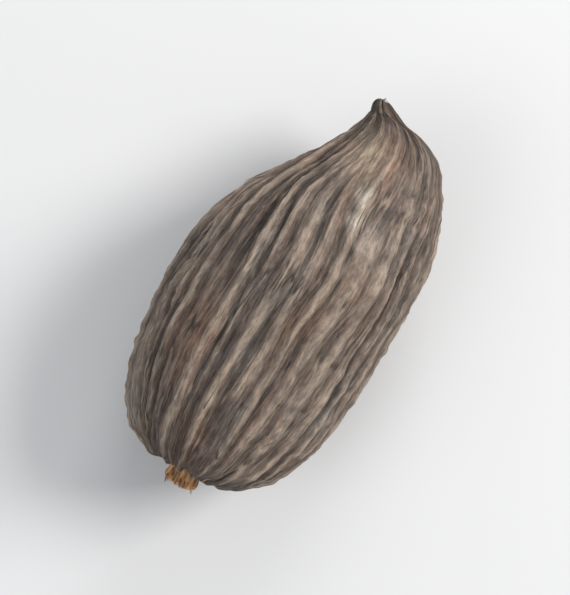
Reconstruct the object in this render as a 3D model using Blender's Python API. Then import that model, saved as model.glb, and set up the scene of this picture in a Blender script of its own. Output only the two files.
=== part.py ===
"""A dried black cardamom pod lying on its side, with the stub of its stalk.

The pod's long axis runs along X. The stalk end points to -X and the beak, which is what is left of the
flower, points to +X. The pod lies on a small flat spot in the plane Z = 0, and the middle of the
object's bounding box stands over the origin. All sizes are in metres.
"""

import bisect
import math
import random

import bmesh
import bpy
from mathutils import Matrix, Vector, noise

MM = 0.001

# The pod's outline in the valleys between the ridges, from the floor of the dimple at the stalk end
# to the tip of the beak. Each station has, in millimetres: the distance from the stalk end, the radius,
# how far the section's middle is moved to -Y, and how far it is moved up
STATIONS = (
    (1.20, 0.00, 0.00, 0.00),
    (1.15, 1.35, 0.00, 0.00),
    (0.55, 2.30, 0.00, 0.00),
    (0.00, 3.30, 0.00, 0.00),
    (0.55, 5.00, 0.00, 0.00),
    (2.50, 6.95, 0.00, 0.00),
    (6.00, 8.55, 0.00, 0.00),
    (10.50, 9.45, 0.00, 0.00),
    (16.60, 9.75, 0.10, 0.00),
    (23.50, 9.30, 1.05, 0.20),
    (27.30, 8.00, 2.00, 0.50),
    (30.20, 6.60, 2.90, 0.80),
    (33.30, 5.00, 3.40, 1.05),
    (35.20, 3.90, 3.20, 1.15),
    (36.30, 2.85, 2.40, 1.20),
    (36.90, 1.75, 1.30, 1.20),
    (37.60, 1.10, 0.60, 1.20),
    (38.05, 0.50, 0.25, 1.20),
    (38.10, 0.00, 0.20, 1.20),
)
STEPS_PER_STATION = 24

# The section's form: three blunt sides, slightly oval, with soft lumps
BLUNT_RIDGE = 0.05
BLUNT_RIDGE_ANGLE = math.radians(82)
OVALNESS = 0.02
OVAL_ANGLE = math.radians(12)
LUMP_HEIGHT = 0.5 * MM
LUMP_LENGTH = 9.0 * MM
LUMPS_ROUND = 1.3
LUMP_START = (4.2, 1.7, 0.3)
FULL_GIRTH_RADIUS = 8.0 * MM

# The ridges that run from end to end. The ranges are shares of the full height and of the way along, and a
# spacing wave has its count round the pod, its size in radians, and where it starts and how far it drifts
RIDGES = 32
RIDGE_HEIGHT = 0.62 * MM
RIDGE_ROUNDNESS = 1.7
RIDGE_FADE = 0.08
LONG_RIDGE_HEIGHTS = (0.75, 1.0)
SHORT_RIDGE_HEIGHTS = (0.45, 0.95)
SHORT_RIDGE_STARTS = (0.08, 0.24)
SHORT_RIDGE_STOPS = (0.10, 0.30)
MEAN_CREST = 0.85
CREST_UNEVENNESS = 0.25
CREST_SWELLS = 5.0
NEXT_CREST = 3.7
FULL_HEIGHT_RADIUS = 7.0 * MM
TWIST = math.radians(13)
BEND_TURN = math.radians(36)
BEND_TURN_ANGLE = math.radians(60)
BEND_TURN_FOCUS = 1.5
BEND_TURN_SHARES = (0.48, 0.90)
SPACING_WAVES = ((2, 0.070, 1.3, 0.0), (5, 0.030, 0.4, 2.0), (9, 0.020, 2.1, 5.0))
SHARED_WIGGLE = math.radians(0.45)
WIGGLES_ALONG = 4.5
RIDGE_SEED = 7

# A few valleys are deep furrows
FURROWS = 6
FURROW_DEPTH = 0.5 * MM
FURROW_DEPTH_SHARES = (0.6, 1.0)
FURROW_MIDDLES = (0.4, 0.65)
FURROW_HALF_LENGTHS = (0.22, 0.36)

# The flat spot that the pod lies on
REST_CUT = 0.3 * MM
REST_ANGLE = math.radians(-90)
REST_HALF_ANGLE = math.radians(30)
REST_MIDDLE = 15.5 * MM
REST_HALF_LENGTH = 9.5 * MM
REST_RELIEF_LEFT = 0.08

# The broken stub of the stalk
STUB_RADIUS = 1.65 * MM
STUB_WAIST = 0.93
STUB_LENGTH = 2.5 * MM
STUB_SIDES = 18
STUB_RINGS = 4
STUB_FLUTING = 0.05
STUB_BREAK_SLOPE = 0.28
STUB_EDGE = 0.16 * MM
FIT_GAP = 0.3 * MM

# How finely the pod is divided
COLUMNS_PER_RIDGE = 4
RINGS = 38
RING_CROWDING = 0.45
SHARP_EDGE = math.radians(50)

# Husk and stalk colours, as linear red, green and blue
HUSK_COLOUR = (0.107, 0.066, 0.046, 1.0)
STALK_COLOUR = (0.30, 0.155, 0.075, 1.0)


def ease(value, low, high):
    """0 below low, 1 above high, and a smooth step between them."""
    share = min(1.0, max(0.0, (value - low) / (high - low)))
    return share * share * (3 - 2 * share)


def slope(stations, number):
    """The curve's direction at a station, weighted to the nearer neighbour."""
    here = stations[number]
    if number == 0:
        return (stations[1] - here).normalized()
    if number == len(stations) - 1:
        return (here - stations[-2]).normalized()
    back = here - stations[number - 1]
    ahead = stations[number + 1] - here
    blend = back / back.length * ahead.length + ahead / ahead.length * back.length
    return blend / (back.length + ahead.length)


def draw_outline():
    """A smooth curve through the stations, as points and their shares of the length along it, from 0 to 1."""
    stations = [Vector(station) * MM for station in STATIONS]
    points = []
    for number in range(len(stations) - 1):
        start, end = stations[number], stations[number + 1]
        length = (end - start).length
        leave, arrive = slope(stations, number) * length, slope(stations, number + 1) * length
        for step in range(STEPS_PER_STATION):
            t = step / STEPS_PER_STATION
            point = start * (2 * t**3 - 3 * t**2 + 1) + end * (3 * t**2 - 2 * t**3)
            points.append(point + leave * (t**3 - 2 * t**2 + t) + arrive * (t**3 - t**2))
    points.append(stations[-1])
    shares = [0.0]
    for before, after in zip(points, points[1:]):
        shares.append(shares[-1] + (after - before).length)
    return points, [share / shares[-1] for share in shares]


OUTLINE, OUTLINE_SHARES = draw_outline()


def outline(share):
    """Distance along X, radius, sideways and upwards shift at share of the way along the outline."""
    share = min(1.0, max(0.0, share))
    after = min(len(OUTLINE) - 1, max(1, bisect.bisect_left(OUTLINE_SHARES, share)))
    low, high = OUTLINE_SHARES[after - 1], OUTLINE_SHARES[after]
    return OUTLINE[after - 1].lerp(OUTLINE[after], (share - low) / (high - low))


def outline_normal(share, step=0.004):
    """The outline's outward direction at share, as (part along the axis, part away from it)."""
    difference = outline(share + step) - outline(share - step)
    tangent = Vector((difference[0], difference[1])).normalized()
    return -tangent.y, tangent.x


def draw_ridges():
    """Each ridge's height and the shares between which it stands. Every second one is shorter."""
    chance = random.Random(RIDGE_SEED)
    ridges = []
    for number in range(RIDGES):
        if number % 2 == 0:
            ridges.append((chance.uniform(*LONG_RIDGE_HEIGHTS), -RIDGE_FADE, 1 + RIDGE_FADE))
        else:
            start = chance.uniform(*SHORT_RIDGE_STARTS)
            end = 1 - chance.uniform(*SHORT_RIDGE_STOPS)
            ridges.append((chance.uniform(*SHORT_RIDGE_HEIGHTS), start, end))
    return ridges


def draw_furrows():
    """Each furrow's valley number, its depth from 0 to 1, and its middle and half length as shares."""
    chance = random.Random(RIDGE_SEED + 1)
    step = RIDGES / FURROWS
    return [
        (
            int(number * step + chance.uniform(0, step - 1)) + 0.5,
            chance.uniform(*FURROW_DEPTH_SHARES),
            chance.uniform(*FURROW_MIDDLES),
            chance.uniform(*FURROW_HALF_LENGTHS),
        )
        for number in range(FURROWS)
    ]


RIDGE_LIST = draw_ridges()
FURROW_LIST = draw_furrows()


def ridge_relief(grain, share):
    """Height of the ridges above the valleys at grain, the angle counted in ridges, in metres."""
    nearest = round(grain)
    across = abs(grain - nearest) * 2
    number = nearest % RIDGES
    height, start, end = RIDGE_LIST[number]
    height *= ease(share, start, start + RIDGE_FADE) * (1 - ease(share, end - RIDGE_FADE, end))
    place = Vector((number * NEXT_CREST, share * CREST_SWELLS, 0.5))
    height *= MEAN_CREST + CREST_UNEVENNESS * noise.noise(place)
    relief = RIDGE_HEIGHT * height * (1 - across**RIDGE_ROUNDNESS)
    for valley, depth, middle, half_length in FURROW_LIST:
        off = abs((grain - valley + RIDGES / 2) % RIDGES - RIDGES / 2)
        if off < 1:
            fade = max(0.0, 1 - ((share - middle) / half_length) ** 2)
            relief -= FURROW_DEPTH * depth * fade * (1 - off) ** 2
    return relief


def bend_turn(angle, share):
    """How far a ridge has turned towards +Y: the pod bends before its beak, and its ridges run straight on."""
    facing = (0.5 + 0.5 * math.cos(angle - BEND_TURN_ANGLE)) ** BEND_TURN_FOCUS
    return BEND_TURN * facing * ease(share, *BEND_TURN_SHARES)


def real_angle(angle, share):
    """The direction round the axis of the ridge that starts out at angle: ridges crowd, twist and wiggle."""
    real = angle + TWIST * (share - 0.5) - bend_turn(angle, share)
    for count, size, start, drift in SPACING_WAVES:
        real += size * math.sin(count * angle + start + drift * share)
    return real + SHARED_WIGGLE * math.sin(2 * math.pi * WIGGLES_ALONG * share + 2 * angle)


def lumps(distance, direction):
    """A soft unevenness of the whole pod, in metres."""
    place = Vector((distance / LUMP_LENGTH, direction.y * LUMPS_ROUND, direction.z * LUMPS_ROUND))
    return LUMP_HEIGHT * noise.noise(place + Vector(LUMP_START))


def rest_fade(distance, real):
    """1 where the ridges stand at full height, and less over the flat spot, where they are pressed flat."""
    off = (real - REST_ANGLE + math.pi) % (2 * math.pi) - math.pi
    near = math.exp(-((off / REST_HALF_ANGLE) ** 4) - ((distance - REST_MIDDLE) / REST_HALF_LENGTH) ** 4)
    return 1 - (1 - REST_RELIEF_LEFT) * near


def surface_point(share, angle):
    """The pod's skin at share of the way and at angle round the axis, before the ridges' crowding."""
    distance, radius, sideways, upwards = outline(share)
    along, outward = outline_normal(share)
    real = real_angle(angle, share)
    direction = Vector((0, math.cos(real), math.sin(real)))
    girth = min(1.0, radius / FULL_GIRTH_RADIUS)
    ridge_share = min(1.0, radius / FULL_HEIGHT_RADIUS)
    radius *= 1 + BLUNT_RIDGE * girth * math.cos(3 * (real - BLUNT_RIDGE_ANGLE))
    radius *= 1 + OVALNESS * math.cos(2 * (real - OVAL_ANGLE))
    rise = lumps(distance, direction) * girth
    grain = angle / (2 * math.pi) * RIDGES
    rise += ridge_relief(grain, share) * ridge_share * rest_fade(distance, real)
    middle = Vector((distance + rise * along, -sideways, upwards))
    return middle + direction * (radius + rise * outward)


def make_material(name, colour, roughness):
    """A plain non-metal material."""
    material = bpy.data.materials.new(name)
    material.use_nodes = True
    shader = material.node_tree.nodes["Principled BSDF"]
    shader.inputs["Base Color"].default_value = colour
    shader.inputs["Roughness"].default_value = roughness
    shader.inputs["Metallic"].default_value = 0.0
    return material


def add_object(name, cage, collection, material):
    """Turns the bmesh into a named object in the collection."""
    mesh = bpy.data.meshes.new(name)
    cage.to_mesh(mesh)
    cage.free()
    mesh.materials.append(material)
    mesh.shade_smooth()
    mesh.set_sharp_from_angle(angle=SHARP_EDGE)
    made = bpy.data.objects.new(name, mesh)
    collection.objects.link(made)
    return made


def make_pod(collection):
    """The husk in one piece: a sphere drawn out to the pod's form, with its flat spot cut."""
    cage = bmesh.new()
    bmesh.ops.create_uvsphere(cage, u_segments=RIDGES * COLUMNS_PER_RIDGE, v_segments=RINGS, radius=1.0)
    for vertex in cage.verts:
        even = 1 - math.acos(max(-1.0, min(1.0, vertex.co.z))) / math.pi
        share = even - RING_CROWDING * math.sin(2 * math.pi * even) / (2 * math.pi)
        vertex.co = surface_point(share, math.atan2(vertex.co.y, vertex.co.x))
    rest = Vector((0, 0, min(vertex.co.z for vertex in cage.verts) + REST_CUT))
    everything = cage.verts[:] + cage.edges[:] + cage.faces[:]
    bmesh.ops.bisect_plane(cage, geom=everything, plane_co=rest, plane_no=(0, 0, -1), clear_outer=True)
    open_edges = [edge for edge in cage.edges if edge.is_boundary]
    bmesh.ops.holes_fill(cage, edges=open_edges, sides=0)
    return add_object("pod", cage, collection, make_material("husk", HUSK_COLOUR, 0.62))


def make_stalk_stub(collection):
    """The stalk's stub: a short fluted peg in the dimple, broken off at a slant."""
    cage = bmesh.new()
    bmesh.ops.create_cone(
        cage, cap_ends=True, segments=STUB_SIDES, radius1=STUB_RADIUS, radius2=STUB_RADIUS, depth=STUB_LENGTH
    )
    sides = [edge for edge in cage.edges if abs(edge.verts[0].co.z - edge.verts[1].co.z) > STUB_LENGTH / 2]
    bmesh.ops.subdivide_edges(cage, edges=sides, cuts=STUB_RINGS - 1, use_grid_fill=True)
    for vertex in cage.verts:
        share = vertex.co.z / STUB_LENGTH + 0.5
        waist = 1 - (1 - STUB_WAIST) * math.sin(math.pi * share)
        turn = math.atan2(vertex.co.y, vertex.co.x)
        flute = 1 + STUB_FLUTING * math.cos(STUB_SIDES / 2 * turn)
        vertex.co.x *= waist * flute
        vertex.co.y *= waist * flute
        vertex.co.z += STUB_BREAK_SLOPE * vertex.co.x * share
    ends = {edge for face in cage.faces if len(face.verts) == STUB_SIDES for edge in face.edges}
    bmesh.ops.bevel(cage, geom=list(ends), offset=STUB_EDGE, segments=2, profile=0.5, affect="EDGES")
    bmesh.ops.transform(cage, matrix=Matrix.Rotation(math.radians(-90), 4, "Y"), verts=cage.verts)
    inner_end = max(vertex.co.x for vertex in cage.verts)
    floor = STATIONS[0][0] * MM
    bmesh.ops.translate(cage, vec=(floor - FIT_GAP - inner_end, 0, 0), verts=cage.verts)
    return add_object("stalk_stub", cage, collection, make_material("stalk", STALK_COLOUR, 0.8))


def bounds(objects):
    """The lowest and highest corners of the objects' own meshes."""
    points = [vertex.co for made in objects for vertex in made.data.vertices]
    low = Vector([min(point[axis] for point in points) for axis in range(3)])
    high = Vector([max(point[axis] for point in points) for axis in range(3)])
    return low, high


def main():
    """Builds both pieces and stands the middle of their bounding box over the origin."""
    for old in list(bpy.data.objects):
        bpy.data.objects.remove(old, do_unlink=True)
    collection = bpy.data.collections.new("black_cardamom_pod")
    bpy.context.scene.collection.children.link(collection)
    pieces = [make_pod(collection), make_stalk_stub(collection)]
    low, high = bounds(pieces)
    to_place = Matrix.Translation((-(low.x + high.x) / 2, -(low.y + high.y) / 2, -low.z))
    for piece in pieces:
        piece.data.transform(to_place)


main()
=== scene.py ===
"""The look of one dried black cardamom pod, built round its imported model.

The husk is one ribbed skin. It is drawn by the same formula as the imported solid, and then gets its fibres,
cross wrinkles and worn crests. A torn stub of stalk sits in the dimple at one end, with shreds of husk and a
few loose strands round it, and dry scales close the beak at the other end. Everything is in metres, in the
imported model's own frame: +X runs from the stalk to the beak, and the pod lies on Z = 0.
"""

import bisect
import logging
import math
import random
from collections.abc import Callable
from dataclasses import dataclass, field
from enum import Enum

import bmesh
import bpy
from mathutils import Matrix, Vector, noise


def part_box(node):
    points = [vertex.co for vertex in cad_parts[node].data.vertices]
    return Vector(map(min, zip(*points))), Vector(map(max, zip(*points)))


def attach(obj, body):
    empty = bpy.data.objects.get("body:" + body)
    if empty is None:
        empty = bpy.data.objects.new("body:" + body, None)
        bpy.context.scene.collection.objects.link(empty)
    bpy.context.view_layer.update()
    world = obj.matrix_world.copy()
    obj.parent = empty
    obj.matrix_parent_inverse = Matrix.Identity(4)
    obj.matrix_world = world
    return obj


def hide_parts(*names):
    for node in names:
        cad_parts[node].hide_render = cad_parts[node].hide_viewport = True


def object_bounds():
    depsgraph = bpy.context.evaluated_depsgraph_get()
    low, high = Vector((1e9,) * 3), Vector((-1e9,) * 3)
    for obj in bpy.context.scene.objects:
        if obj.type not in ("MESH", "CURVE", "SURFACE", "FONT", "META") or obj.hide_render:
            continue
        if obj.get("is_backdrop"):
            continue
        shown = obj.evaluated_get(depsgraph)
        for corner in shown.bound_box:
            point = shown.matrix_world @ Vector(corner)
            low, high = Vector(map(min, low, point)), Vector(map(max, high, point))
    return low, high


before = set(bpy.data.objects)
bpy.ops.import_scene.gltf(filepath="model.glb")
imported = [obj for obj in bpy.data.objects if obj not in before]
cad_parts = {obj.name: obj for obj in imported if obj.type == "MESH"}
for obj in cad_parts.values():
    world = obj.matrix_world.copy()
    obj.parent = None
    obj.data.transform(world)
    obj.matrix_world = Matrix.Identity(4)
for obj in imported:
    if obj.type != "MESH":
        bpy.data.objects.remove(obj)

MM = 0.001
BODY = "root"
POD_NODE = "pod"
STUB_NODE = "stalk_stub"
CREST = "crest"
GRAIN_PLACE = "grain_place"

Colour = tuple[float, float, float, float]
log = logging.getLogger("black_cardamom_pod")


class Slot(Enum):
    """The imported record's material slots."""

    HUSK = "husk"
    STALK = "stalk"


def ease(value: float, low: float, high: float) -> float:
    """A smooth step.

    Args:
        value: The number to place.
        low: Where the step starts.
        high: Where it ends.

    Returns:
        0 below low, 1 above high, and a smooth rise between them.
    """
    share = min(1.0, max(0.0, (value - low) / (high - low)))
    return share * share * (3 - 2 * share)


@dataclass(frozen=True)
class Spot:
    """A place on the bare pod, before a ridge is raised on it.

    Attributes:
        share: How far along the outline it is, from 0 at the stalk end to 1 at the beak.
        grain: The angle round the pod before the ridges crowd, counted in ridges.
        middle: The middle of the section.
        direction: The way out from the middle.
        radius: How far out the bare skin is.
        along: The part of the skin's outward direction that runs along the axis.
        outward: The part of it that runs away from the axis.
        girth: 1 where the pod is full, less towards its ends.
        fade: How much of their height the ridges have here, from 0 to 1.
    """

    share: float
    grain: float
    middle: Vector
    direction: Vector
    radius: float
    along: float
    outward: float
    girth: float
    fade: float

    def raised(self, rise: float) -> Vector:
        """The point that stands this far above the bare skin, in metres."""
        forward = Vector((rise * self.along, 0, 0))
        return self.middle + forward + self.direction * (self.radius + rise * self.outward)


@dataclass
class PodForm:
    """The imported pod's form by formula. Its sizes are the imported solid's own."""

    # Distance from the stalk end, radius, shift to -Y and shift upwards, in millimetres
    stations: tuple[tuple[float, float, float, float], ...] = (
        (1.20, 0.00, 0.00, 0.00),
        (1.15, 1.35, 0.00, 0.00),
        (0.55, 2.30, 0.00, 0.00),
        (0.00, 3.30, 0.00, 0.00),
        (0.55, 5.00, 0.00, 0.00),
        (2.50, 6.95, 0.00, 0.00),
        (6.00, 8.55, 0.00, 0.00),
        (10.50, 9.45, 0.00, 0.00),
        (16.60, 9.75, 0.10, 0.00),
        (23.50, 9.30, 1.05, 0.20),
        (27.30, 8.00, 2.00, 0.50),
        (30.20, 6.60, 2.90, 0.80),
        (33.30, 5.00, 3.40, 1.05),
        (35.20, 3.90, 3.20, 1.15),
        (36.30, 2.85, 2.40, 1.20),
        (36.90, 1.75, 1.30, 1.20),
        (37.60, 1.10, 0.60, 1.20),
        (38.05, 0.50, 0.25, 1.20),
        (38.10, 0.00, 0.20, 1.20),
    )
    steps_per_station: int = 24
    blunt_ridge: float = 0.05
    blunt_ridge_angle: float = math.radians(82)
    ovalness: float = 0.02
    oval_angle: float = math.radians(12)
    lump_height: float = 0.5 * MM
    lump_length: float = 9.0 * MM
    lumps_round: float = 1.3
    lump_start: tuple[float, float, float] = (4.2, 1.7, 0.3)
    full_girth_radius: float = 8.0 * MM
    ridges: int = 32
    ridge_height: float = 0.62 * MM
    ridge_roundness: float = 1.7
    ridge_fade: float = 0.08
    long_ridge_heights: tuple[float, float] = (0.75, 1.0)
    short_ridge_heights: tuple[float, float] = (0.45, 0.95)
    short_ridge_starts: tuple[float, float] = (0.08, 0.24)
    short_ridge_stops: tuple[float, float] = (0.10, 0.30)
    mean_crest: float = 0.85
    crest_unevenness: float = 0.25
    crest_swells: float = 5.0
    next_crest: float = 3.7
    full_height_radius: float = 7.0 * MM
    twist: float = math.radians(13)
    bend_turn: float = math.radians(36)
    bend_turn_angle: float = math.radians(60)
    bend_turn_focus: float = 1.5
    bend_turn_shares: tuple[float, float] = (0.48, 0.90)
    spacing_waves: tuple[tuple[int, float, float, float], ...] = (
        (2, 0.070, 1.3, 0.0),
        (5, 0.030, 0.4, 2.0),
        (9, 0.020, 2.1, 5.0),
    )
    shared_wiggle: float = math.radians(0.45)
    wiggles_along: float = 4.5
    ridge_seed: int = 7
    furrows: int = 6
    furrow_depth: float = 0.5 * MM
    furrow_depth_shares: tuple[float, float] = (0.6, 1.0)
    furrow_middles: tuple[float, float] = (0.4, 0.65)
    furrow_half_lengths: tuple[float, float] = (0.22, 0.36)
    rest_cut: float = 0.3 * MM
    rest_angle: float = math.radians(-90)
    rest_half_angle: float = math.radians(30)
    rest_middle: float = 15.5 * MM
    rest_half_length: float = 9.5 * MM
    rest_relief_left: float = 0.08
    packed_columns: int = 128
    packed_rings: int = 38
    ring_crowding: float = 0.45

    curve: list[Vector] = field(init=False)
    curve_shares: list[float] = field(init=False)
    ridge_list: list[tuple[float, float, float]] = field(init=False)
    furrow_list: list[tuple[float, float, float, float]] = field(init=False)
    origin: Vector = field(init=False)
    floor: float = field(init=False)

    def __post_init__(self) -> None:
        """Draws the outline and the ridges, and finds where the form's origin lies in the frame."""
        self.curve, self.curve_shares = self.draw_outline()
        self.ridge_list = self.draw_ridges()
        self.furrow_list = self.draw_furrows()
        self.origin = Vector((0, 0, 0))
        self.floor = -1.0
        self.origin = self.find_origin()
        self.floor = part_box(POD_NODE)[0].z

    def slope(self, stations: list[Vector], number: int) -> Vector:
        """The outline's direction at a station, weighted to the nearer neighbour.

        Args:
            stations: The stations as vectors.
            number: Which station.

        Returns:
            The direction, about one long.
        """
        here = stations[number]
        if number == 0:
            return (stations[1] - here).normalized()
        if number == len(stations) - 1:
            return (here - stations[-2]).normalized()
        back = here - stations[number - 1]
        ahead = stations[number + 1] - here
        blend = back / back.length * ahead.length + ahead / ahead.length * back.length
        return blend / (back.length + ahead.length)

    def draw_outline(self) -> tuple[list[Vector], list[float]]:
        """A smooth curve through the stations.

        Returns:
            Its points, and the share of its length at which each lies.
        """
        stations = [Vector(station) * MM for station in self.stations]
        points = []
        for number in range(len(stations) - 1):
            start, end = stations[number], stations[number + 1]
            length = (end - start).length
            leave = self.slope(stations, number) * length
            arrive = self.slope(stations, number + 1) * length
            for step in range(self.steps_per_station):
                t = step / self.steps_per_station
                point = start * (2 * t**3 - 3 * t**2 + 1) + end * (3 * t**2 - 2 * t**3)
                points.append(point + leave * (t**3 - 2 * t**2 + t) + arrive * (t**3 - t**2))
        points.append(stations[-1])
        shares = [0.0]
        for before, after in zip(points, points[1:]):
            shares.append(shares[-1] + (after - before).length)
        self.length = shares[-1]
        return points, [share / shares[-1] for share in shares]

    def draw_ridges(self) -> list[tuple[float, float, float]]:
        """Each ridge's height and the two shares between which it stands. Every second one is shorter."""
        chance = random.Random(self.ridge_seed)
        ridges = []
        for number in range(self.ridges):
            if number % 2 == 0:
                height = chance.uniform(*self.long_ridge_heights)
                ridges.append((height, -self.ridge_fade, 1 + self.ridge_fade))
            else:
                start = chance.uniform(*self.short_ridge_starts)
                end = 1 - chance.uniform(*self.short_ridge_stops)
                ridges.append((chance.uniform(*self.short_ridge_heights), start, end))
        return ridges

    def draw_furrows(self) -> list[tuple[float, float, float, float]]:
        """Each deep furrow's valley number, depth from 0 to 1, and its middle and half length as shares."""
        chance = random.Random(self.ridge_seed + 1)
        step = self.ridges / self.furrows
        return [
            (
                int(number * step + chance.uniform(0, step - 1)) + 0.5,
                chance.uniform(*self.furrow_depth_shares),
                chance.uniform(*self.furrow_middles),
                chance.uniform(*self.furrow_half_lengths),
            )
            for number in range(self.furrows)
        ]

    def outline(self, share: float) -> Vector:
        """Distance along X, radius, sideways and upwards shift at a share of the way along the outline."""
        share = min(1.0, max(0.0, share))
        after = min(len(self.curve) - 1, max(1, bisect.bisect_left(self.curve_shares, share)))
        low, high = self.curve_shares[after - 1], self.curve_shares[after]
        return self.curve[after - 1].lerp(self.curve[after], (share - low) / (high - low))

    def real_angle(self, angle: float, share: float) -> float:
        """The direction round the axis of the ridge that starts out at angle: ridges crowd, twist and wiggle.

        Args:
            angle: The even angle round the pod.
            share: How far along the outline.

        Returns:
            The angle at which that ridge really stands there.
        """
        facing = (0.5 + 0.5 * math.cos(angle - self.bend_turn_angle)) ** self.bend_turn_focus
        real = angle + self.twist * (share - 0.5) - self.bend_turn * facing * ease(share, *self.bend_turn_shares)
        for count, size, start, drift in self.spacing_waves:
            real += size * math.sin(count * angle + start + drift * share)
        return real + self.shared_wiggle * math.sin(2 * math.pi * self.wiggles_along * share + 2 * angle)

    def rest_fade(self, distance: float, real: float) -> float:
        """1 where the ridges stand at full height, and less over the flat spot, where they are pressed flat.

        Args:
            distance: How far along X, from the stalk end.
            real: The direction round the axis.

        Returns:
            The share of their height that the ridges keep.
        """
        off = (real - self.rest_angle + math.pi) % (2 * math.pi) - math.pi
        away = (off / self.rest_half_angle) ** 4 + ((distance - self.rest_middle) / self.rest_half_length) ** 4
        return 1 - (1 - self.rest_relief_left) * math.exp(-away)

    def spot(self, share: float, angle: float, step: float = 0.004) -> Spot:
        """The bare pod at a place, lumps and blunt sides included.

        Args:
            share: How far along the outline.
            angle: The even angle round the pod.
            step: The share over which the outline's slant is measured.

        Returns:
            The place, from which ridges can be raised.
        """
        distance, radius, sideways, upwards = self.outline(share)
        difference = self.outline(share + step) - self.outline(share - step)
        tangent = Vector((difference[0], difference[1])).normalized()
        real = self.real_angle(angle, share)
        direction = Vector((0, math.cos(real), math.sin(real)))
        girth = min(1.0, radius / self.full_girth_radius)
        fade = min(1.0, radius / self.full_height_radius) * self.rest_fade(distance, real)
        radius *= 1 + self.blunt_ridge * girth * math.cos(3 * (real - self.blunt_ridge_angle))
        radius *= 1 + self.ovalness * math.cos(2 * (real - self.oval_angle))
        place = Vector((distance / self.lump_length, direction.y * self.lumps_round, direction.z * self.lumps_round))
        lump = self.lump_height * noise.noise(place + Vector(self.lump_start)) * girth
        middle = Vector((distance - lump * tangent.y, -sideways, upwards)) + self.origin
        grain = angle / (2 * math.pi) * self.ridges
        outward = tangent.x
        return Spot(share, grain, middle, direction, radius + lump * outward, -tangent.y, outward, girth, fade)

    def furrow(self, grain: float, share: float) -> float:
        """How deep the furrows are at a place, in metres.

        Args:
            grain: The angle counted in ridges.
            share: How far along the outline.

        Returns:
            The depth, 0 outside every furrow.
        """
        depth_here = 0.0
        for valley, depth, middle, half_length in self.furrow_list:
            off = abs((grain - valley + self.ridges / 2) % self.ridges - self.ridges / 2)
            if off < 1:
                fade = max(0.0, 1 - ((share - middle) / half_length) ** 2)
                depth_here += self.furrow_depth * depth * fade * (1 - off) ** 2
        return depth_here

    def ridge_height_at(self, number: int, share: float) -> float:
        """The height of one ridge's crest at a share of the way, in metres."""
        height, start, end = self.ridge_list[number]
        height *= ease(share, start, start + self.ridge_fade) * (1 - ease(share, end - self.ridge_fade, end))
        place = Vector((number * self.next_crest, share * self.crest_swells, 0.5))
        return self.ridge_height * height * (self.mean_crest + self.crest_unevenness * noise.noise(place))

    def packed_point(self, share: float, angle: float) -> Vector:
        """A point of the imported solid's skin, before its flat spot is cut."""
        spot = self.spot(share, angle)
        nearest = round(spot.grain)
        across = abs(spot.grain - nearest) * 2
        rise = self.ridge_height_at(nearest % self.ridges, share) * (1 - across**self.ridge_roundness)
        return spot.raised((rise - self.furrow(spot.grain, share)) * spot.fade)

    def crowded(self, even: float) -> float:
        """The share of the way for a ring, given its even share: rings crowd towards both ends."""
        return even - self.ring_crowding * math.sin(2 * math.pi * even) / (2 * math.pi)

    def find_origin(self) -> Vector:
        """Where the form's own origin lies in the frame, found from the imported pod's box."""
        points = [
            self.packed_point(self.crowded(ring / self.packed_rings), 2 * math.pi * column / self.packed_columns)
            for ring in range(self.packed_rings + 1)
            for column in range(self.packed_columns)
        ]
        low = Vector([min(point[axis] for point in points) for axis in range(3)])
        high = Vector([max(point[axis] for point in points) for axis in range(3)])
        node_low, node_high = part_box(POD_NODE)
        shift = (node_low + node_high - low - high) / 2
        shift.z = node_low.z - low.z - self.rest_cut
        return shift


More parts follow.
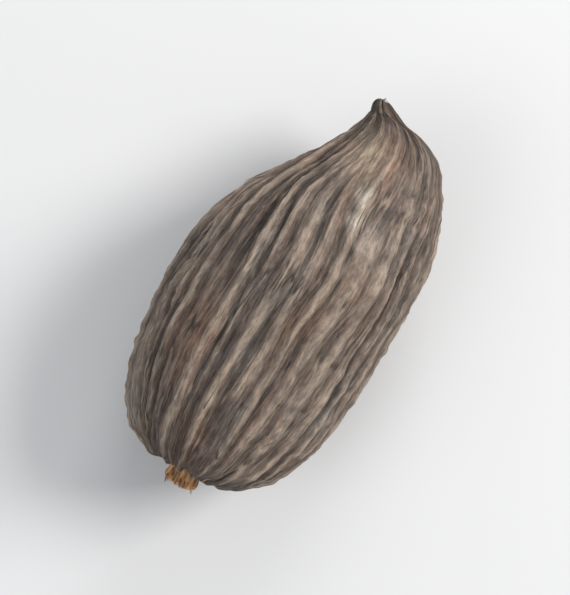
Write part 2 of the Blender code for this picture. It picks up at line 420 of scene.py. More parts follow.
@dataclass
class FineRelief:
    """What a close look adds to the ridges: sharper crests that wander, fibres, cross wrinkles and dents."""

    form: PodForm
    crest_wander: float = 0.055
    bluntest: float = 0.95
    sharpest: float = 2.1
    crest_bumps: float = 0.40
    fold_height: float = 0.26 * MM
    fibre_height: float = 0.42 * MM
    wrinkle_height: float = 0.13 * MM
    dent_depth: float = 0.24 * MM
    rag_height: float = 0.28 * MM
    seed: int = 31
    keenness: list[float] = field(init=False)

    def __post_init__(self) -> None:
        """Draws how sharp each ridge is."""
        chance = random.Random(self.seed)
        self.keenness = [chance.uniform(self.bluntest, self.sharpest) for _ in range(self.form.ridges)]

    def around(self, grain: float, size: float, along: float) -> Vector:
        """A place for noise that closes round the pod.

        Args:
            grain: The angle counted in ridges.
            size: How many units of noise the radius is.
            along: How many units along the pod.

        Returns:
            The place in the noise.
        """
        turn = 2 * math.pi * grain / self.form.ridges
        return Vector((math.cos(turn) * size, math.sin(turn) * size, along))

    def at(self, spot: Spot) -> tuple[float, float]:
        """The fine skin's rise at a place.

        Args:
            spot: The place on the bare pod.

        Returns:
            The rise above the bare skin in metres, and how near a crest it is, from 0 to 1.
        """
        form, share = self.form, spot.share
        drift = noise.noise(self.around(spot.grain, 5.0, share * 10))
        drift += 0.8 * noise.noise(self.around(spot.grain, 14.0, share * 45))
        grain = spot.grain + self.crest_wander * drift
        nearest = round(grain)
        across = abs(grain - nearest) * 2
        number = nearest % form.ridges
        bumps = 1 + self.crest_bumps * noise.noise(Vector((number * 5.1, share * 20, 2.5)))
        bumps += 0.6 * self.crest_bumps * noise.noise(Vector((number * 9.7, share * 60, 7.5)))
        height = form.ridge_height_at(number, share) * bumps
        swell = 0.5 + 0.5 * math.cos(math.pi * across)
        ridge = height * swell ** self.keenness[number] - 0.6 * form.furrow(grain, share)
        fold = 0.45 - abs(noise.noise(self.around(grain, 12.5, share * 6 + 3)))
        fibre = 0.5 - abs(noise.noise(self.around(grain, 26.0, share * 12)))
        fine = self.fold_height * fold + self.fibre_height * fibre * fibre
        patch = ease(noise.noise(self.around(spot.grain, 2.4, share * 7 + 5)), -0.4, 0.3)
        fine += self.wrinkle_height * patch * noise.noise(self.around(spot.grain, 5.0, share * 62))
        dent = noise.noise(self.around(spot.grain, 3.4, share * 10 + 11))
        fine -= self.dent_depth * ease(-dent, 0.2, 0.65) * spot.girth
        rag = 1 - ease(abs(share - 0.075), 0.012, 0.03)
        fine += self.rag_height * rag * noise.noise(self.around(spot.grain, 5.5, share * 60 + 17))
        # How near a crest the place is: the husk's material lightens high places as wear and darkens low ones with
        # painted groove shade.
        worn = (ridge * spot.fade + 0.9 * self.fold_height * fold) / form.ridge_height + 0.25 * fibre
        return ridge * spot.fade + fine * min(1.0, spot.fade + 0.2), min(1.0, max(0.0, worn + 0.05))


@dataclass
class Skin:
    """The finished skin: the form with its fine relief, ending at the plane that the pod lies on."""

    form: PodForm
    relief: FineRelief

    def at(self, share: float, angle: float) -> tuple[Vector, float]:
        """A point of the skin.

        Args:
            share: How far along the outline.
            angle: The even angle round the pod.

        Returns:
            The point, and how near a crest it is.
        """
        spot = self.form.spot(share, angle)
        rise, crest = self.relief.at(spot)
        point = spot.raised(rise)
        point.z = max(point.z, self.form.floor)
        return point, crest

    def facing(self, share: float, angle: float, step: float = 0.006) -> tuple[Vector, Vector, Vector]:
        """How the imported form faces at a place.

        Args:
            share: How far along the outline.
            angle: The even angle round the pod.
            step: The share and the angle over which it is measured.

        Returns:
            The directions along the pod, round it and out of it.
        """
        share = min(1 - 2 * step, max(2 * step, share))
        low, high = self.form.packed_point(share - step, angle), self.form.packed_point(share + step, angle)
        left, right = self.form.packed_point(share, angle - 8 * step), self.form.packed_point(share, angle + 8 * step)
        along = (high - low).normalized()
        out = (right - left).cross(along).normalized()
        return along, out.cross(along).normalized(), out


def drawn_out(cage: bmesh.types.BMesh, place: Callable[[float, float], Vector], columns: int, rings: int) -> None:
    """Adds a sphere to the bmesh and draws it out to another form.

    Args:
        cage: The bmesh that it goes into.
        place: Gives the point for a share of the way from pole to pole and an angle.
        columns: How many columns of faces.
        rings: How many rings of faces.
    """
    made = bmesh.ops.create_uvsphere(cage, u_segments=columns, v_segments=rings, radius=1.0)
    for vertex in made["verts"]:
        share = 1 - math.acos(max(-1.0, min(1.0, vertex.co.z))) / math.pi
        vertex.co = place(share, math.atan2(vertex.co.y, vertex.co.x))


def finished(name: str, cage: bmesh.types.BMesh, material: bpy.types.Material, slot: Slot) -> bpy.types.Object:
    """Makes the bmesh a piece that rides on the pod.

    Args:
        name: The piece's name.
        cage: The bmesh, which is freed.
        material: Its material.
        slot: The record's material slot; not used.

    Returns:
        The new object.
    """
    bmesh.ops.recalc_face_normals(cage, faces=cage.faces)
    mesh = bpy.data.meshes.new(name)
    cage.to_mesh(mesh)
    cage.free()
    mesh.materials.append(material)
    mesh.shade_smooth()
    piece = bpy.data.objects.new(name, mesh)
    bpy.context.scene.collection.objects.link(piece)
    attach(piece, BODY)
    triangles = sum(len(face.vertices) - 2 for face in mesh.polygons)
    log.info("%s: %d triangles", name, triangles)
    return piece


class Bench:
    """Adds shader nodes to one new material and wires them."""

    def __init__(self, name: str) -> None:
        """Starts the material."""
        self.material = bpy.data.materials.new(name)
        self.material.use_nodes = True
        self.nodes = self.material.node_tree.nodes
        self.links = self.material.node_tree.links
        self.shader = self.nodes["Principled BSDF"]

    def feed(self, socket: bpy.types.NodeSocket, value: object) -> None:
        """Links the value to the socket if it is a socket itself, and otherwise sets it."""
        if isinstance(value, bpy.types.NodeSocket):
            self.links.new(value, socket)
        else:
            socket.default_value = value

    def value_of(self, attribute: str) -> bpy.types.NodeSocket:
        """The number that a vertex attribute holds."""
        node = self.nodes.new("ShaderNodeAttribute")
        node.attribute_name = attribute
        return node.outputs["Fac"]

    def place_of(self, attribute: str) -> bpy.types.NodeSocket:
        """The place that a vertex attribute holds."""
        node = self.nodes.new("ShaderNodeAttribute")
        node.attribute_name = attribute
        return node.outputs["Vector"]

    def object_place(self) -> bpy.types.NodeSocket:
        """The place on the object, in metres."""
        return self.nodes.new("ShaderNodeTexCoord").outputs["Object"]

    def stretched(self, place: bpy.types.NodeSocket, scale: tuple[float, float, float]) -> bpy.types.NodeSocket:
        """The place with each axis scaled, so that a pattern on it stretches."""
        node = self.nodes.new("ShaderNodeMapping")
        self.feed(node.inputs["Vector"], place)
        node.inputs["Scale"].default_value = scale
        return node.outputs["Vector"]

    def noise(
        self, place: bpy.types.NodeSocket, scale: float, detail: float = 4.0, roughness: float = 0.55
    ) -> bpy.types.NodeSocket:
        """Soft noise.

        Args:
            place: Where it is read.
            scale: Features per metre.
            detail: How many finer layers.
            roughness: How strong those are.

        Returns:
            A number round 0.5.
        """
        node = self.nodes.new("ShaderNodeTexNoise")
        self.feed(node.inputs["Vector"], place)
        node.inputs["Scale"].default_value = scale
        node.inputs["Detail"].default_value = detail
        node.inputs["Roughness"].default_value = roughness
        return node.outputs["Fac"]

    def lines(self, place: bpy.types.NodeSocket, scale: float, width: float) -> bpy.types.NodeSocket:
        """Thin lines, where soft noise crosses its middle.

        Args:
            place: Where it is read.
            scale: Features per metre.
            width: How far from its middle the noise still counts as a line.

        Returns:
            1 on a line and 0 beside it.
        """
        off = self.sum_of("SUBTRACT", self.noise(place, scale, 2.0, 0.5), 0.5)
        return self.span(self.sum_of("ABSOLUTE", off, 0.0), 0.0, width, 1.0, 0.0)

    def near(self, place: bpy.types.NodeSocket, centre: Vector, reach: Vector) -> bpy.types.NodeSocket:
        """A soft spot.

        Args:
            place: Where it is read.
            centre: The spot's centre.
            reach: How far it reaches along each axis.

        Returns:
            1 at the centre and 0 at the rim.
        """
        offset = self.nodes.new("ShaderNodeVectorMath")
        offset.operation = "SUBTRACT"
        self.feed(offset.inputs[0], place)
        offset.inputs[1].default_value = centre
        scaled = self.nodes.new("ShaderNodeVectorMath")
        scaled.operation = "DIVIDE"
        self.feed(scaled.inputs[0], offset.outputs["Vector"])
        scaled.inputs[1].default_value = reach
        length = self.nodes.new("ShaderNodeVectorMath")
        length.operation = "LENGTH"
        self.feed(length.inputs[0], scaled.outputs["Vector"])
        return self.span(length.outputs["Value"], 0.2, 1.0, 1.0, 0.0)

    def span(
        self, value: bpy.types.NodeSocket, low: float, high: float, to_low: float = 0.0, to_high: float = 1.0
    ) -> bpy.types.NodeSocket:
        """A smooth step from to_low at low to to_high at high."""
        node = self.nodes.new("ShaderNodeMapRange")
        node.interpolation_type = "SMOOTHSTEP"
        self.feed(node.inputs["Value"], value)
        node.inputs["From Min"].default_value = low
        node.inputs["From Max"].default_value = high
        node.inputs["To Min"].default_value = to_low
        node.inputs["To Max"].default_value = to_high
        return node.outputs["Result"]

    def sum_of(self, operation: str, first: object, second: object) -> bpy.types.NodeSocket:
        """The result of a maths operation on two numbers."""
        node = self.nodes.new("ShaderNodeMath")
        node.operation = operation
        self.feed(node.inputs[0], first)
        self.feed(node.inputs[1], second)
        return node.outputs[0]

    def blend(self, share: object, first: object, second: object, kind: str = "MIX") -> bpy.types.NodeSocket:
        """The first colour with a share of the second laid over it.

        Args:
            share: How much of the second.
            first: The colour below.
            second: The colour above.
            kind: How it is laid over.

        Returns:
            The colour.
        """
        node = self.nodes.new("ShaderNodeMix")
        node.data_type = "RGBA"
        node.blend_type = kind
        self.feed(node.inputs[0], share)
        self.feed(node.inputs[6], first)
        self.feed(node.inputs[7], second)
        return node.outputs[2]

    def grey(self, value: bpy.types.NodeSocket) -> bpy.types.NodeSocket:
        """The number as a grey colour."""
        node = self.nodes.new("ShaderNodeCombineColor")
        for name in ("Red", "Green", "Blue"):
            self.feed(node.inputs[name], value)
        return node.outputs["Color"]

    def bump(
        self, height: bpy.types.NodeSocket, distance: float, strength: float, below: bpy.types.NodeSocket | None = None
    ) -> bpy.types.NodeSocket:
        """A bump.

        Args:
            height: The height, from 0 to 1.
            distance: How high 1 is, in metres.
            strength: How much of it shows.
            below: The normal that it lies on, if another bump comes first.

        Returns:
            The bumped normal.
        """
        node = self.nodes.new("ShaderNodeBump")
        node.inputs["Distance"].default_value = distance
        node.inputs["Strength"].default_value = strength
        self.feed(node.inputs["Height"], height)
        if below is not None:
            self.feed(node.inputs["Normal"], below)
        return node.outputs["Normal"]

    def finish(self, colour: object, roughness: object, normal: object, specular: float) -> bpy.types.Material:
        """Feeds the shader and gives the finished material."""
        self.feed(self.shader.inputs["Base Color"], colour)
        self.feed(self.shader.inputs["Roughness"], roughness)
        self.feed(self.shader.inputs["Normal"], normal)
        self.shader.inputs["Specular IOR Level"].default_value = specular
        return self.material


@dataclass(frozen=True)
class HuskFinish:
    """The dried husk: worn light on the crests, red in places, with a grey bloom; painted shade darkens its grooves
    and fine cracks, and two painted glare flecks lie near the beak.
    """

    # Painted shade: the near-black colour laid into the grooves and the fine cracks.
    groove: Colour = (0.016, 0.009, 0.006, 1)
    dark: Colour = (0.082, 0.058, 0.045, 1)
    brown: Colour = (0.138, 0.101, 0.078, 1)
    red: Colour = (0.155, 0.083, 0.053, 1)
    worn: Colour = (0.285, 0.222, 0.168, 1)
    pale: Colour = (0.400, 0.310, 0.225, 1)
    bloom: Colour = (0.215, 0.193, 0.170, 1)
    pale_spot: Vector = field(default_factory=lambda: Vector((14.0, -0.4, 13.5)) * MM)
    pale_reach: Vector = field(default_factory=lambda: Vector((5.0, 3.0, 7.0)) * MM)
    # Painted reflection: the pale colour of two small glare flecks left of the beak's base.
    bare: Colour = (0.375, 0.325, 0.268, 1)
    painted_glare_spots: tuple[tuple[Vector, Vector], ...] = (
        (Vector((11.1, -1.9, 17.0)) * MM, Vector((1.7, 1.2, 4.0)) * MM),
        (Vector((8.8, -2.1, 17.5)) * MM, Vector((1.4, 1.0, 4.0)) * MM),
    )
    specular: float = 0.40

    def material(self) -> bpy.types.Material:
        """The husk's material.

        Returns:
            The material.
        """
        bench = Bench("dried_husk")
        place, grain, crest = bench.object_place(), bench.place_of(GRAIN_PLACE), bench.value_of(CREST)
        patches = bench.span(bench.noise(place, 130, 5), 0.36, 0.64)
        tone = bench.blend(patches, self.dark, self.brown)
        reddened = bench.span(bench.noise(bench.stretched(grain, (1, 1, 0.5)), 170, 4), 0.50, 0.70, 0.0, 0.7)
        tone = bench.blend(reddened, tone, self.red)
        bloomed = bench.span(bench.noise(bench.stretched(grain, (1, 1, 0.3)), 260, 6, 0.65), 0.46, 0.70, 0.0, 0.65)
        tone = bench.blend(bloomed, tone, self.bloom)
        streaks = bench.noise(bench.stretched(grain, (1, 1, 0.07)), 1700, 7, 0.7)
        tone = bench.blend(1.0, tone, bench.grey(bench.span(streaks, 0.34, 0.68, 0.40, 1.65)), "MULTIPLY")
        rubbed = bench.span(bench.noise(bench.stretched(grain, (1, 1, 0.2)), 900, 5, 0.6), 0.33, 0.66, 0.42, 1.0)
        wear = bench.sum_of("MULTIPLY", bench.span(crest, 0.36, 0.88, 0.0, 0.90), rubbed)
        tone = bench.blend(wear, tone, self.worn)
        # Painted shade: darker towards the bottom of each groove, by the crest height.
        painted_groove_shade = bench.span(crest, 0.0, 0.40, 0.60, 0.0)
        tone = bench.blend(painted_groove_shade, tone, self.groove)
        dry = bench.sum_of("MULTIPLY", bench.near(place, self.pale_spot, self.pale_reach), rubbed)
        tone = bench.blend(bench.sum_of("MULTIPLY", dry, 0.7), tone, self.pale)
        # Painted reflection: the two glare flecks, broken up by the rubbed noise.
        for centre, reach in self.painted_glare_spots:
            glare_share = bench.sum_of("MULTIPLY", bench.near(place, centre, reach), rubbed)
            tone = bench.blend(glare_share, tone, self.bare)
        grit = bench.noise(bench.stretched(grain, (1, 1, 0.2)), 4200, 4, 0.7)
        tone = bench.blend(1.0, tone, bench.grey(bench.span(grit, 0.34, 0.68, 0.66, 1.4)), "MULTIPLY")
        fibres = bench.lines(bench.stretched(grain, (1, 1, 0.05)), 1300, 0.035)
        tone = bench.blend(bench.sum_of("MULTIPLY", fibres, bench.span(rubbed, 0.3, 1.0, 0.1, 0.7)), tone, self.worn)
        cracks = bench.lines(bench.stretched(grain, (1, 1, 0.07)), 820, 0.022)
        cracks = bench.sum_of("MULTIPLY", cracks, bench.span(bench.noise(grain, 420, 3), 0.42, 0.6))
        # Painted shade: the fine crack lines are darkened with the groove shade colour; their relief is the bump
        # below.
        tone = bench.blend(bench.sum_of("MULTIPLY", cracks, 0.75), tone, self.groove)
        rough = bench.span(streaks, 0.3, 0.7, 0.58, 0.80)
        rough = bench.sum_of("SUBTRACT", rough, bench.span(crest, 0.4, 0.95, 0.0, 0.18))
        normal = bench.bump(streaks, 0.26 * MM, 1.0)
        normal = bench.bump(grit, 0.09 * MM, 1.0, normal)
        normal = bench.bump(bench.sum_of("SUBTRACT", fibres, cracks), 0.07 * MM, 1.0, normal)
        return bench.finish(tone, rough, normal, self.specular)


@dataclass(frozen=True)
class FibreFinish:
    """Dry plant fibre: streaked, with darker stains.

    Attributes:
        name: The material's name.
        fresh: The clean fibre's colour.
        stained: The colour of the stains.
        streak_along: The axis that the streaks follow, as the pattern's scale on each axis.
        roughness: The shader's roughness.
    """

    name: str
    fresh: Colour
    stained: Colour
    streak_along: tuple[float, float, float] = (0.12, 1.0, 1.0)
    roughness: float = 0.8
    specular: float = 0.25

    def material(self) -> bpy.types.Material:
        """The fibre's material.

        Returns:
            The material.
        """
        bench = Bench(self.name)
        place = bench.object_place()
        streaks = bench.noise(bench.stretched(place, self.streak_along), 4200, 5, 0.65)
        stains = bench.span(bench.noise(place, 900, 4, 0.6), 0.38, 0.66)
        tone = bench.blend(stains, self.fresh, self.stained)
        tone = bench.blend(1.0, tone, bench.grey(bench.span(streaks, 0.28, 0.72, 0.5, 1.35)), "MULTIPLY")
        rough = bench.span(streaks, 0.3, 0.7, self.roughness - 0.12, self.roughness + 0.12)
        return bench.finish(tone, rough, bench.bump(streaks, 0.06 * MM, 0.9), self.specular)


STALK_FIBRE = FibreFinish("stalk_fibre", (0.60, 0.335, 0.155, 1), (0.24, 0.120, 0.060, 1))
STRAND_FIBRE = FibreFinish("strand_fibre", (0.42, 0.26, 0.145, 1), (0.22, 0.13, 0.075, 1))
BEAK_SCALE = FibreFinish("beak_scale", (0.155, 0.120, 0.090, 1), (0.064, 0.048, 0.037, 1), (0.2, 1, 1))
PAPERY_HUSK = FibreFinish("papery_husk", (0.235, 0.175, 0.128, 1), (0.085, 0.058, 0.044, 1), (0.3, 1, 1))


@dataclass
class Husk:
    """The pod's husk in one piece."""

    skin: Skin
    finish: HuskFinish = HuskFinish()
    columns: int = 448
    rings: int = 216
    ring_crowding: float = 0.30

    def build(self) -> bpy.types.Object:
        """Draws the skin and notes on each vertex how near a crest it is and where it lies in the grain.

        Returns:
            The husk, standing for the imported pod.
        """
        form = self.skin.form
        cage = bmesh.new()
        crest_layer = cage.verts.layers.float.new(CREST)
        grain_layer = cage.verts.layers.float_vector.new(GRAIN_PLACE)
        radius = form.full_girth_radius
        made = bmesh.ops.create_uvsphere(cage, u_segments=self.columns, v_segments=self.rings, radius=1.0)
        for vertex in made["verts"]:
            even = 1 - math.acos(max(-1.0, min(1.0, vertex.co.z))) / math.pi
            share = even - self.ring_crowding * math.sin(2 * math.pi * even) / (2 * math.pi)
            angle = math.atan2(vertex.co.y, vertex.co.x)
            vertex.co, vertex[crest_layer] = self.skin.at(share, angle)
            vertex[grain_layer] = Vector((math.cos(angle) * radius, math.sin(angle) * radius, share * form.length))
        husk = finished("husk_skin", cage, self.finish.material(), Slot.HUSK)
        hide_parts(POD_NODE)
        return husk


@dataclass(frozen=True)
class Shred:
    """A fibre or a flake along the skin.

    Attributes:
        start: The share of the way at which it starts.
        end: The share at which it ends; past 1 it leaves the tip.
        angle: The even angle round the pod at its start.
        drift: How far round it drifts.
        half_width: Half its width, in metres.
        half_thickness: Half its thickness, in metres.
        lift: How far its end stands off the skin, in metres.
        wave: How far it sways to either side, in metres.
    """

    start: float
    end: float
    angle: float
    drift: float
    half_width: float
    half_thickness: float
    lift: float
    wave: float = 0.0


@dataclass
class Shreds:
    """Many shreds of one kind in one piece."""

    name: str
    skin: Skin
    shreds: list[Shred]
    finish: FibreFinish
    slot: Slot
    columns: int = 8
    rings: int = 26
    sunk: float = 0.10 * MM

    def taper(self, t: float) -> float:
        """A shred's girth at a share of its length: full soon after its foot, then thinning to a point."""
        return ease(t, -0.15, 0.2) * (1 - t) ** 0.6 if 0 < t < 1 else 0.0

    def centre(self, shred: Shred, t: float) -> tuple[Vector, Vector, Vector]:
        """The middle of a shred at a share of its length.

        Args:
            shred: The shred.
            t: The share of its length.

        Returns:
            The point, and the directions round the pod and out of it there.
        """
        share = shred.start + (shred.end - shred.start) * t
        angle = shred.angle + shred.drift * t
        point = self.skin.at(min(share, 1.0), angle)[0]
        along, across, out = self.skin.facing(share, angle)
        height = shred.half_thickness * 0.5 - self.sunk * (1 - ease(t, 0.0, 0.25))
        point = point + out * (height + shred.lift * ease(t, 0.35, 1.0) ** 1.5)
        sway = shred.wave * math.sin(2 * math.pi * (1.6 * t + shred.angle))
        past = max(0.0, share - 1.0) * self.skin.form.length
        return point + across * sway + Vector((past, 0, 0)), across, out

    def build(self) -> bpy.types.Object:
        """Draws every shred out along its path.

        Returns:
            The piece.
        """
        cage = bmesh.new()
        for shred in self.shreds:

            def place(t: float, turn: float, shred: Shred = shred) -> Vector:
                """The point of this shred's skin at a share of its length and a turn round it."""
                point, across, out = self.centre(shred, t)
                girth = self.taper(t)
                side = across * (math.cos(turn) * shred.half_width * girth)
                return point + side + out * (math.sin(turn) * shred.half_thickness * girth)

            drawn_out(cage, place, self.columns, self.rings)
        return finished(self.name, cage, self.finish.material(), self.slot)


@dataclass
class StalkStub:
    """The stub of the stalk: a fluted peg whose end is torn into bundles of fibre."""

    columns: int = 96
    rings: int = 96
    inner_face: float = 0.12
    side: float = 0.46
    waist: float = 0.93
    flutes: float = 0.16
    break_slope: float = 0.28
    bundle: float = 0.42 * MM
    torn_depth: float = 0.42 * MM
    rim_round: float = 0.22 * MM
    splinters: int = 15
    seed: int = 5

    def __post_init__(self) -> None:
        """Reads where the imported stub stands."""
        self.low, self.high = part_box(STUB_NODE)
        self.axis = Vector((0, (self.low.y + self.high.y) / 2, (self.low.z + self.high.z) / 2))
        self.radius = (self.high.y - self.low.y) / 2

    def end_at(self, up: float) -> float:
        """The X at which the slanted break lies, for a height over the axis."""
        return self.low.x + self.break_slope * (self.radius - up)

    def torn(self, y: float, z: float) -> float:
        """How far the torn end lies behind the break at a place across it, in metres."""
        distances, points = noise.voronoi(Vector((y / self.bundle, z / self.bundle, 0.5)))
        height = 0.5 + 0.5 * noise.noise(points[0] * 3.7)
        crack = 1 - ease(distances[1] - distances[0], 0.0, 0.35)
        rim = ease(math.hypot(y, z), self.radius - self.rim_round, self.radius)
        return self.torn_depth * (0.75 * (1 - height) + 0.45 * crack) + self.rim_round * rim**2

    def place(self, share: float, turn: float) -> Vector:
        """The point of the stub's skin at a share of the way from its inner to its outer pole and a turn round it."""
        if share < self.inner_face:
            out, forward = share / self.inner_face, 0.0
        elif share < self.side:
            out, forward = 1.0, (share - self.inner_face) / (self.side - self.inner_face)
        else:
            out, forward = (1 - share) / (1 - self.side), 1.0
        groove = abs(noise.noise(Vector((math.cos(turn) * 5.5, math.sin(turn) * 5.5, forward * 0.8))))
        flute = 1 - self.flutes * (1 - ease(groove, 0.0, 0.22))
        radius = self.radius * out * (1 - (1 - self.waist) * math.sin(math.pi * forward)) * flute
        y, z = math.cos(turn) * radius, math.sin(turn) * radius
        end = self.end_at(z) + self.torn(y, z)
        return self.axis + Vector((self.high.x + (end - self.high.x) * forward, y, z))

    def build(self) -> list[bpy.types.Object]:
        """Builds the stub and the splinters that stand out of its torn end.

        Returns:
            Both pieces.
        """
        cage = bmesh.new()
        drawn_out(cage, self.place, self.columns, self.rings)
        stub = finished("torn_stalk_stub", cage, STALK_FIBRE.material(), Slot.STALK)
        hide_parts(STUB_NODE)
        return [stub, self.build_splinters()]

    def build_splinters(self) -> bpy.types.Object:
        """Builds the splinters: short fibres, each drawn out from the break and bent a little.

        Returns:
            The piece.
        """
        chance = random.Random(self.seed)
        cage = bmesh.new()
        for number in range(self.splinters):
            turn = 2 * math.pi * (number + chance.uniform(-0.3, 0.3)) / self.splinters
            out = self.radius * chance.choice((0.9, 0.86, 0.6, 0.35))
            start = Vector((0, math.cos(turn) * out, math.sin(turn) * out))
            start.x = self.end_at(start.z) + self.torn_depth
            length = chance.uniform(0.35, 0.75) * MM
            spread = Vector((-1, math.cos(turn) * chance.uniform(0, 0.5), math.sin(turn) * chance.uniform(0, 0.5)))
            bend = Vector((0, chance.uniform(-0.3, 0.3), chance.uniform(-0.3, 0.3)))
            thick = chance.uniform(0.13, 0.22) * MM

            def place(t: float, round_it: float) -> Vector:
                """The point of this splinter's skin at a share of its length and a turn round it."""
                middle = self.axis + start + (spread * t + bend * t * t) * length
                girth = thick * (1 - 0.85 * t) if 0 < t < 1 else 0.0
                return middle + Vector((0, math.cos(round_it) * girth, math.sin(round_it) * girth))

            drawn_out(cage, place, 6, 10)
        return finished("stub_splinters", cage, STALK_FIBRE.material(), Slot.STALK)


@dataclass
class Trimmings:
    """The loose bits on the husk: strands at the stalk, shreds round the dimple, flakes, and the beak's scales."""

    skin: Skin
    strand_seed: int = 11
    collar_seed: int = 17
    flake_seed: int = 23
    scale_seed: int = 29
    strands: int = 5
    collar_shreds: int = 22
    flakes: int = 26
    scales: int = 9
    rim: float = 0.05
    beak_foot: float = 0.945

    def strand_list(self) -> list[Shred]:
        """Orange strands of stalk fibre that run from the dimple out over the shoulder."""
        chance = random.Random(self.strand_seed)
        made = []
        for number in range(self.strands):
            start = chance.uniform(0.036, 0.055)
            turn = 2 * math.pi * (number + chance.uniform(-0.35, 0.35)) / self.strands
            length, drift = chance.uniform(0.04, 0.12), chance.uniform(-0.12, 0.12)
            thick = chance.uniform(0.055, 0.08) * MM
            lift = chance.choice((0.0, 0.05, 0.12)) * MM
            made.append(Shred(start, start + length, turn, drift, thick * 2.2, thick, lift, 0.10 * MM))
        return made

    def collar_list(self) -> list[Shred]:
        """Short dark shreds of husk round the dimple's rim."""
        chance = random.Random(self.collar_seed)
        made = []
        for number in range(self.collar_shreds):
            turn = 2 * math.pi * (number + chance.uniform(-0.3, 0.3)) / self.collar_shreds
            start = self.rim + chance.uniform(-0.004, 0.012)
            end = start + chance.uniform(0.018, 0.034)
            width = chance.uniform(0.16, 0.34) * MM
            made.append(Shred(end, start, turn, chance.uniform(-0.2, 0.2), width, 0.045 * MM, 0.30 * MM))
        return made

    def flake_list(self) -> list[Shred]:
        """Thin flakes of outer skin that lift off the crests."""
        chance = random.Random(self.flake_seed)
        form = self.skin.form
        made = []
        for _ in range(self.flakes):
            ridge = chance.randrange(form.ridges)
            turn = 2 * math.pi * (ridge + chance.uniform(-0.2, 0.2)) / form.ridges
            start = chance.uniform(0.14, 0.86)
            length = chance.choice((-1, 1)) * chance.uniform(0.04, 0.10)
            width = chance.uniform(0.035, 0.075) * MM
            lift = chance.uniform(0.05, 0.25) * MM
            made.append(Shred(start, start + length, turn, chance.uniform(-0.03, 0.03), width, 0.035 * MM, lift))
        return [shred for shred in made if math.sin(form.real_angle(shred.angle, shred.start)) > -0.55]

    def scale_list(self) -> list[Shred]:
        """Narrow dry scales that close over the beak's tip."""
        chance = random.Random(self.scale_seed)
        made = []
        for number in range(self.scales):
            turn = 2 * math.pi * (number + chance.uniform(-0.25, 0.25)) / self.scales
            start = self.beak_foot + chance.uniform(-0.015, 0.015)
            end = chance.uniform(0.990, 1.012)
            width = chance.uniform(0.14, 0.26) * MM
            lift = chance.uniform(0.03, 0.17) * MM
            made.append(Shred(start, end, turn, chance.uniform(-0.25, 0.25), width, 0.05 * MM, lift))
        return made

    def build(self) -> list[bpy.types.Object]:
        """Builds the four kinds of bits.

        Returns:
            The pieces.
        """
        skin = self.skin
        kinds = (
            Shreds("shoulder_strands", skin, self.strand_list(), STRAND_FIBRE, Slot.STALK),
            Shreds("collar_shreds", skin, self.collar_list(), PAPERY_HUSK, Slot.HUSK, rings=12),
            Shreds("husk_flakes", skin, self.flake_list(), PAPERY_HUSK, Slot.HUSK, rings=18),
            Shreds("beak_scales", skin, self.scale_list(), BEAK_SCALE, Slot.HUSK, rings=18),
        )
        return [kind.build() for kind in kinds]


class Role(Enum):
    """What a lamp is for. The value is its name."""

    KEY = "key_lamp"
    FILL = "fill_lamp"
    SIDE = "side_lamp"


@dataclass(frozen=True)
class Lamp:
    """A soft square lamp that faces the pod.

    Attributes:
        role: What it is for.
        across: Metres to the picture's right of the pod.
        upward: Metres up the picture.
        above: Metres above the floor.
        size: Its side, in metres.
        watts: Its power.
        tint: The light's colour.
    """

    role: Role
    across: float
    upward: float
    above: float
    size: float
    watts: float
    tint: tuple[float, float, float] = (1.0, 1.0, 1.0)


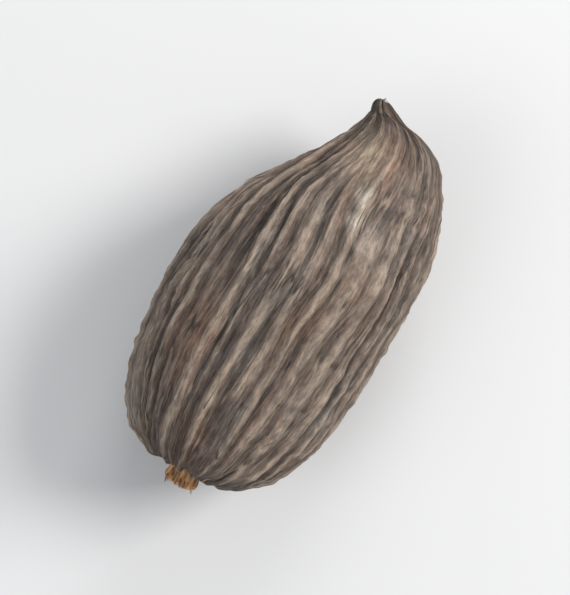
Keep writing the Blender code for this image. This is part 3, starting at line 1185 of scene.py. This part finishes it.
@dataclass
class Studio:
    """A pale floor, soft lamps and a camera that looks straight down, turned as the photograph shows the pod."""

    axis_in_picture: float = math.radians(62)
    lens: float = 150.0
    sensor: float = 36.0
    picture_height: float = 0.0545
    floor_size: float = 5.0
    floor_drop: float = 0.02 * MM
    floor_colour: Colour = (0.62, 0.62, 0.618, 1)
    sky: Colour = (0.93, 0.95, 1.0, 1)
    sky_strength: float = 0.55
    lamps: tuple[Lamp, ...] = (
        Lamp(Role.KEY, 0.40, 0.10, 0.34, 0.22, 2.85, (1.0, 0.985, 0.96)),
        Lamp(Role.FILL, -0.38, -0.12, 0.42, 0.40, 0.8, (0.95, 0.975, 1.0)),
        Lamp(Role.SIDE, 0.12, 0.44, 0.26, 0.22, 0.95),
    )

    def __post_init__(self) -> None:
        """Works out the picture's right and up in the frame."""
        self.right = Vector((math.cos(self.axis_in_picture), -math.sin(self.axis_in_picture), 0))
        self.up = Vector((math.sin(self.axis_in_picture), math.cos(self.axis_in_picture), 0))

    def build_floor(self) -> bpy.types.Object:
        """A plain pale floor.

        Returns:
            The floor, marked as stage.
        """
        cage = bmesh.new()
        bmesh.ops.create_grid(cage, x_segments=1, y_segments=1, size=self.floor_size / 2)
        bmesh.ops.translate(cage, vec=(0, 0, -self.floor_drop), verts=cage.verts)
        mesh = bpy.data.meshes.new("pale_floor")
        cage.to_mesh(mesh)
        cage.free()
        bench = Bench("pale_floor")
        mesh.materials.append(bench.material)
        bench.shader.inputs["Base Color"].default_value = self.floor_colour
        bench.shader.inputs["Roughness"].default_value = 0.9
        bench.shader.inputs["Specular IOR Level"].default_value = 0.1
        floor = bpy.data.objects.new("pale_floor", mesh)
        bpy.context.scene.collection.objects.link(floor)
        floor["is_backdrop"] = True
        return floor

    def build_lamps(self) -> None:
        """Hangs the lamps and lights the room evenly."""
        middle = sum(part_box(POD_NODE), Vector()) / 2
        for lamp in self.lamps:
            light = bpy.data.lights.new(lamp.role.value, "AREA")
            light.size = lamp.size
            light.energy = lamp.watts
            light.color = lamp.tint
            holder = bpy.data.objects.new(lamp.role.value, light)
            place = self.right * lamp.across + self.up * lamp.upward + Vector((0, 0, lamp.above))
            turned = (place - middle).to_track_quat("Z", "Y").to_matrix().to_4x4()
            holder.matrix_world = Matrix.Translation(place) @ turned
            holder.visible_camera = False
            bpy.context.scene.collection.objects.link(holder)
        world = bpy.data.worlds.new("soft_room")
        world.use_nodes = True
        background = world.node_tree.nodes["Background"]
        background.inputs["Color"].default_value = self.sky
        background.inputs["Strength"].default_value = self.sky_strength
        bpy.context.scene.world = world

    def build_camera(self) -> bpy.types.Object:
        """The camera over the pod.

        Returns:
            The camera.
        """
        low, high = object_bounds()
        middle = (low + high) / 2
        camera_data = bpy.data.cameras.new("camera")
        camera_data.lens = self.lens
        camera_data.sensor_width = self.sensor
        camera = bpy.data.objects.new("camera", camera_data)
        bpy.context.scene.collection.objects.link(camera)
        distance = self.picture_height * self.lens / self.sensor
        turned = Matrix((self.right, self.up, Vector((0, 0, 1)))).transposed().to_4x4()
        camera.matrix_world = Matrix.Translation(middle + Vector((0, 0, distance))) @ turned
        bpy.context.scene.camera = camera
        return camera

    def build(self) -> None:
        """Sets up the floor, the lamps, the camera and plain picture colours."""
        self.build_floor()
        self.build_lamps()
        self.build_camera()
        bpy.context.scene.view_settings.view_transform = "Standard"
        log.info("studio: %d lamps", len(self.lamps))


def main() -> None:
    """Builds the pod and its studio."""
    logging.basicConfig(level=logging.INFO, format="%(name)s: %(message)s")
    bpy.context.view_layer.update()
    form = PodForm()
    skin = Skin(form, FineRelief(form))
    Studio().build()
    Husk(skin).build()
    StalkStub().build()
    Trimmings(skin).build()


if __name__ == "__main__":
    main()
